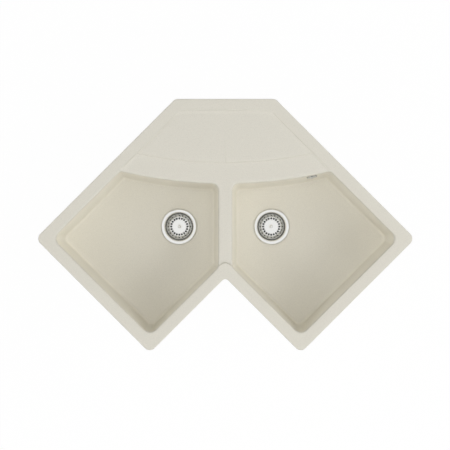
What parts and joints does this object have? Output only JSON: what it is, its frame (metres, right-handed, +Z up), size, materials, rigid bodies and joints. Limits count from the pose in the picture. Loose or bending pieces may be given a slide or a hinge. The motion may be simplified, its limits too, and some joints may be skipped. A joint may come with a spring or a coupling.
{
  "type": "corner kitchen sink",
  "caption": "Inset corner kitchen sink with two five-sided bowls behind a V-shaped front, lift-out basket strainers, an overflow and swinging rim clips",
  "frame": {"origin": "on the plane where the rim sits on the worktop, in the middle of the short back edge that crosses the wall corner", "axes": "+X along the front from the left wing to the right wing, +Y towards the wall corner, +Z up"},
  "size_m": [1.1568, 0.7769, 0.312],
  "materials": {
    "composite": "matte quartz composite, finely speckled, cream white",
    "stainless": "polished sheet",
    "basket_steel": "satin pressed sheet",
    "screw_steel": "plain stainless",
    "clip_steel": "zinc plated",
    "brass_socket": "turned brass",
    "black_rubber": "moulded rubber",
    "seal_foam": "closed-cell foam strip",
    "waste_plastic": "white polypropylene",
    "hose_plastic": "grey ribbed plastic"
  },
  "bodies": {
    "sink": {"sink_body": "composite", "rim_seal": "seal_foam", "left_strainer_cup": "stainless", "left_flange_gasket": "black_rubber", "left_waste_gasket": "black_rubber", "left_waste_body": "waste_plastic", "left_waste_screw": "screw_steel", "right_strainer_cup": "stainless", "right_flange_gasket": "black_rubber", "right_waste_gasket": "black_rubber", "right_waste_body": "waste_plastic", "right_waste_screw": "screw_steel", "left_inlet_cap": "waste_plastic", "overflow_cover": "stainless", "overflow_screw": "screw_steel", "overflow_gasket": "black_rubber", "overflow_elbow": "waste_plastic", "overflow_hose": "hose_plastic", "hose_clamps": "screw_steel", "clip_sockets": "brass_socket"},
    "left_basket_body": {"left_basket": "basket_steel", "left_basket_knob": "stainless", "left_basket_stem": "screw_steel", "left_basket_seal": "black_rubber"},
    "right_basket_body": {"right_basket": "basket_steel", "right_basket_knob": "stainless", "right_basket_stem": "screw_steel", "right_basket_seal": "black_rubber"},
    "clip_1_screw": {"clip_screw_1": "clip_steel"},
    "clip_1_arm": {"clip_arm_1": "clip_steel"},
    "clip_2_screw": {"clip_screw_2": "clip_steel"},
    "clip_2_arm": {"clip_arm_2": "clip_steel"},
    "clip_3_screw": {"clip_screw_3": "clip_steel"},
    "clip_3_arm": {"clip_arm_3": "clip_steel"},
    "clip_4_screw": {"clip_screw_4": "clip_steel"},
    "clip_4_arm": {"clip_arm_4": "clip_steel"},
    "clip_5_screw": {"clip_screw_5": "clip_steel"},
    "clip_5_arm": {"clip_arm_5": "clip_steel"},
    "clip_6_screw": {"clip_screw_6": "clip_steel"},
    "clip_6_arm": {"clip_arm_6": "clip_steel"},
    "clip_7_screw": {"clip_screw_7": "clip_steel"},
    "clip_7_arm": {"clip_arm_7": "clip_steel"},
    "clip_8_screw": {"clip_screw_8": "clip_steel"},
    "clip_8_arm": {"clip_arm_8": "clip_steel"}
  },
  "joints": [
    {"name": "left_basket_lift", "type": "slide", "parent": "sink", "child": "left_basket_body", "axis": [0, 0, 1], "range_m": [0, 0.07]},
    {"name": "right_basket_lift", "type": "slide", "parent": "sink", "child": "right_basket_body", "axis": [0, 0, 1], "range_m": [0, 0.07]},
    {"name": "clip_1_tighten", "type": "slide", "parent": "sink", "child": "clip_1_screw", "axis": [0, 0, 1], "range_m": [0, 0.012]},
    {"name": "clip_1_swing", "type": "hinge", "parent": "clip_1_screw", "child": "clip_1_arm", "pos_m": [-0.24551, -0.12162, -0.062], "axis": [0, 0, -1], "range_deg": [0, 90]},
    {"name": "clip_2_tighten", "type": "slide", "parent": "sink", "child": "clip_2_screw", "axis": [0, 0, 1], "range_m": [0, 0.012]},
    {"name": "clip_2_swing", "type": "hinge", "parent": "clip_2_screw", "child": "clip_2_arm", "pos_m": [-0.4435, -0.31961, -0.062], "axis": [0, 0, -1], "range_deg": [0, 90]},
    {"name": "clip_3_tighten", "type": "slide", "parent": "sink", "child": "clip_3_screw", "axis": [0, 0, 1], "range_m": [0, 0.012]},
    {"name": "clip_3_swing", "type": "hinge", "parent": "clip_3_screw", "child": "clip_3_arm", "pos_m": [-0.39457, -0.59312, -0.062], "axis": [0, 0, -1], "range_deg": [0, 90]},
    {"name": "clip_4_tighten", "type": "slide", "parent": "sink", "child": "clip_4_screw", "axis": [0, 0, 1], "range_m": [0, 0.012]},
    {"name": "clip_4_swing", "type": "hinge", "parent": "clip_4_screw", "child": "clip_4_arm", "pos_m": [-0.13223, -0.65322, -0.062], "axis": [0, 0, -1], "range_deg": [0, 90]},
    {"name": "clip_5_tighten", "type": "slide", "parent": "sink", "child": "clip_5_screw", "axis": [0, 0, 1], "range_m": [0, 0.012]},
    {"name": "clip_5_swing", "type": "hinge", "parent": "clip_5_screw", "child": "clip_5_arm", "pos_m": [0.24551, -0.12162, -0.062], "axis": [0, 0, -1], "range_deg": [0, 90]},
    {"name": "clip_6_tighten", "type": "slide", "parent": "sink", "child": "clip_6_screw", "axis": [0, 0, 1], "range_m": [0, 0.012]},
    {"name": "clip_6_swing", "type": "hinge", "parent": "clip_6_screw", "child": "clip_6_arm", "pos_m": [0.4435, -0.31961, -0.062], "axis": [0, 0, -1], "range_deg": [0, 90]},
    {"name": "clip_7_tighten", "type": "slide", "parent": "sink", "child": "clip_7_screw", "axis": [0, 0, 1], "range_m": [0, 0.012]},
    {"name": "clip_7_swing", "type": "hinge", "parent": "clip_7_screw", "child": "clip_7_arm", "pos_m": [0.39457, -0.59312, -0.062], "axis": [0, 0, -1], "range_deg": [0, 90]},
    {"name": "clip_8_tighten", "type": "slide", "parent": "sink", "child": "clip_8_screw", "axis": [0, 0, 1], "range_m": [0, 0.012]},
    {"name": "clip_8_swing", "type": "hinge", "parent": "clip_8_screw", "child": "clip_8_arm", "pos_m": [0.13223, -0.65322, -0.062], "axis": [0, 0, -1], "range_deg": [0, 90]}
  ]
}
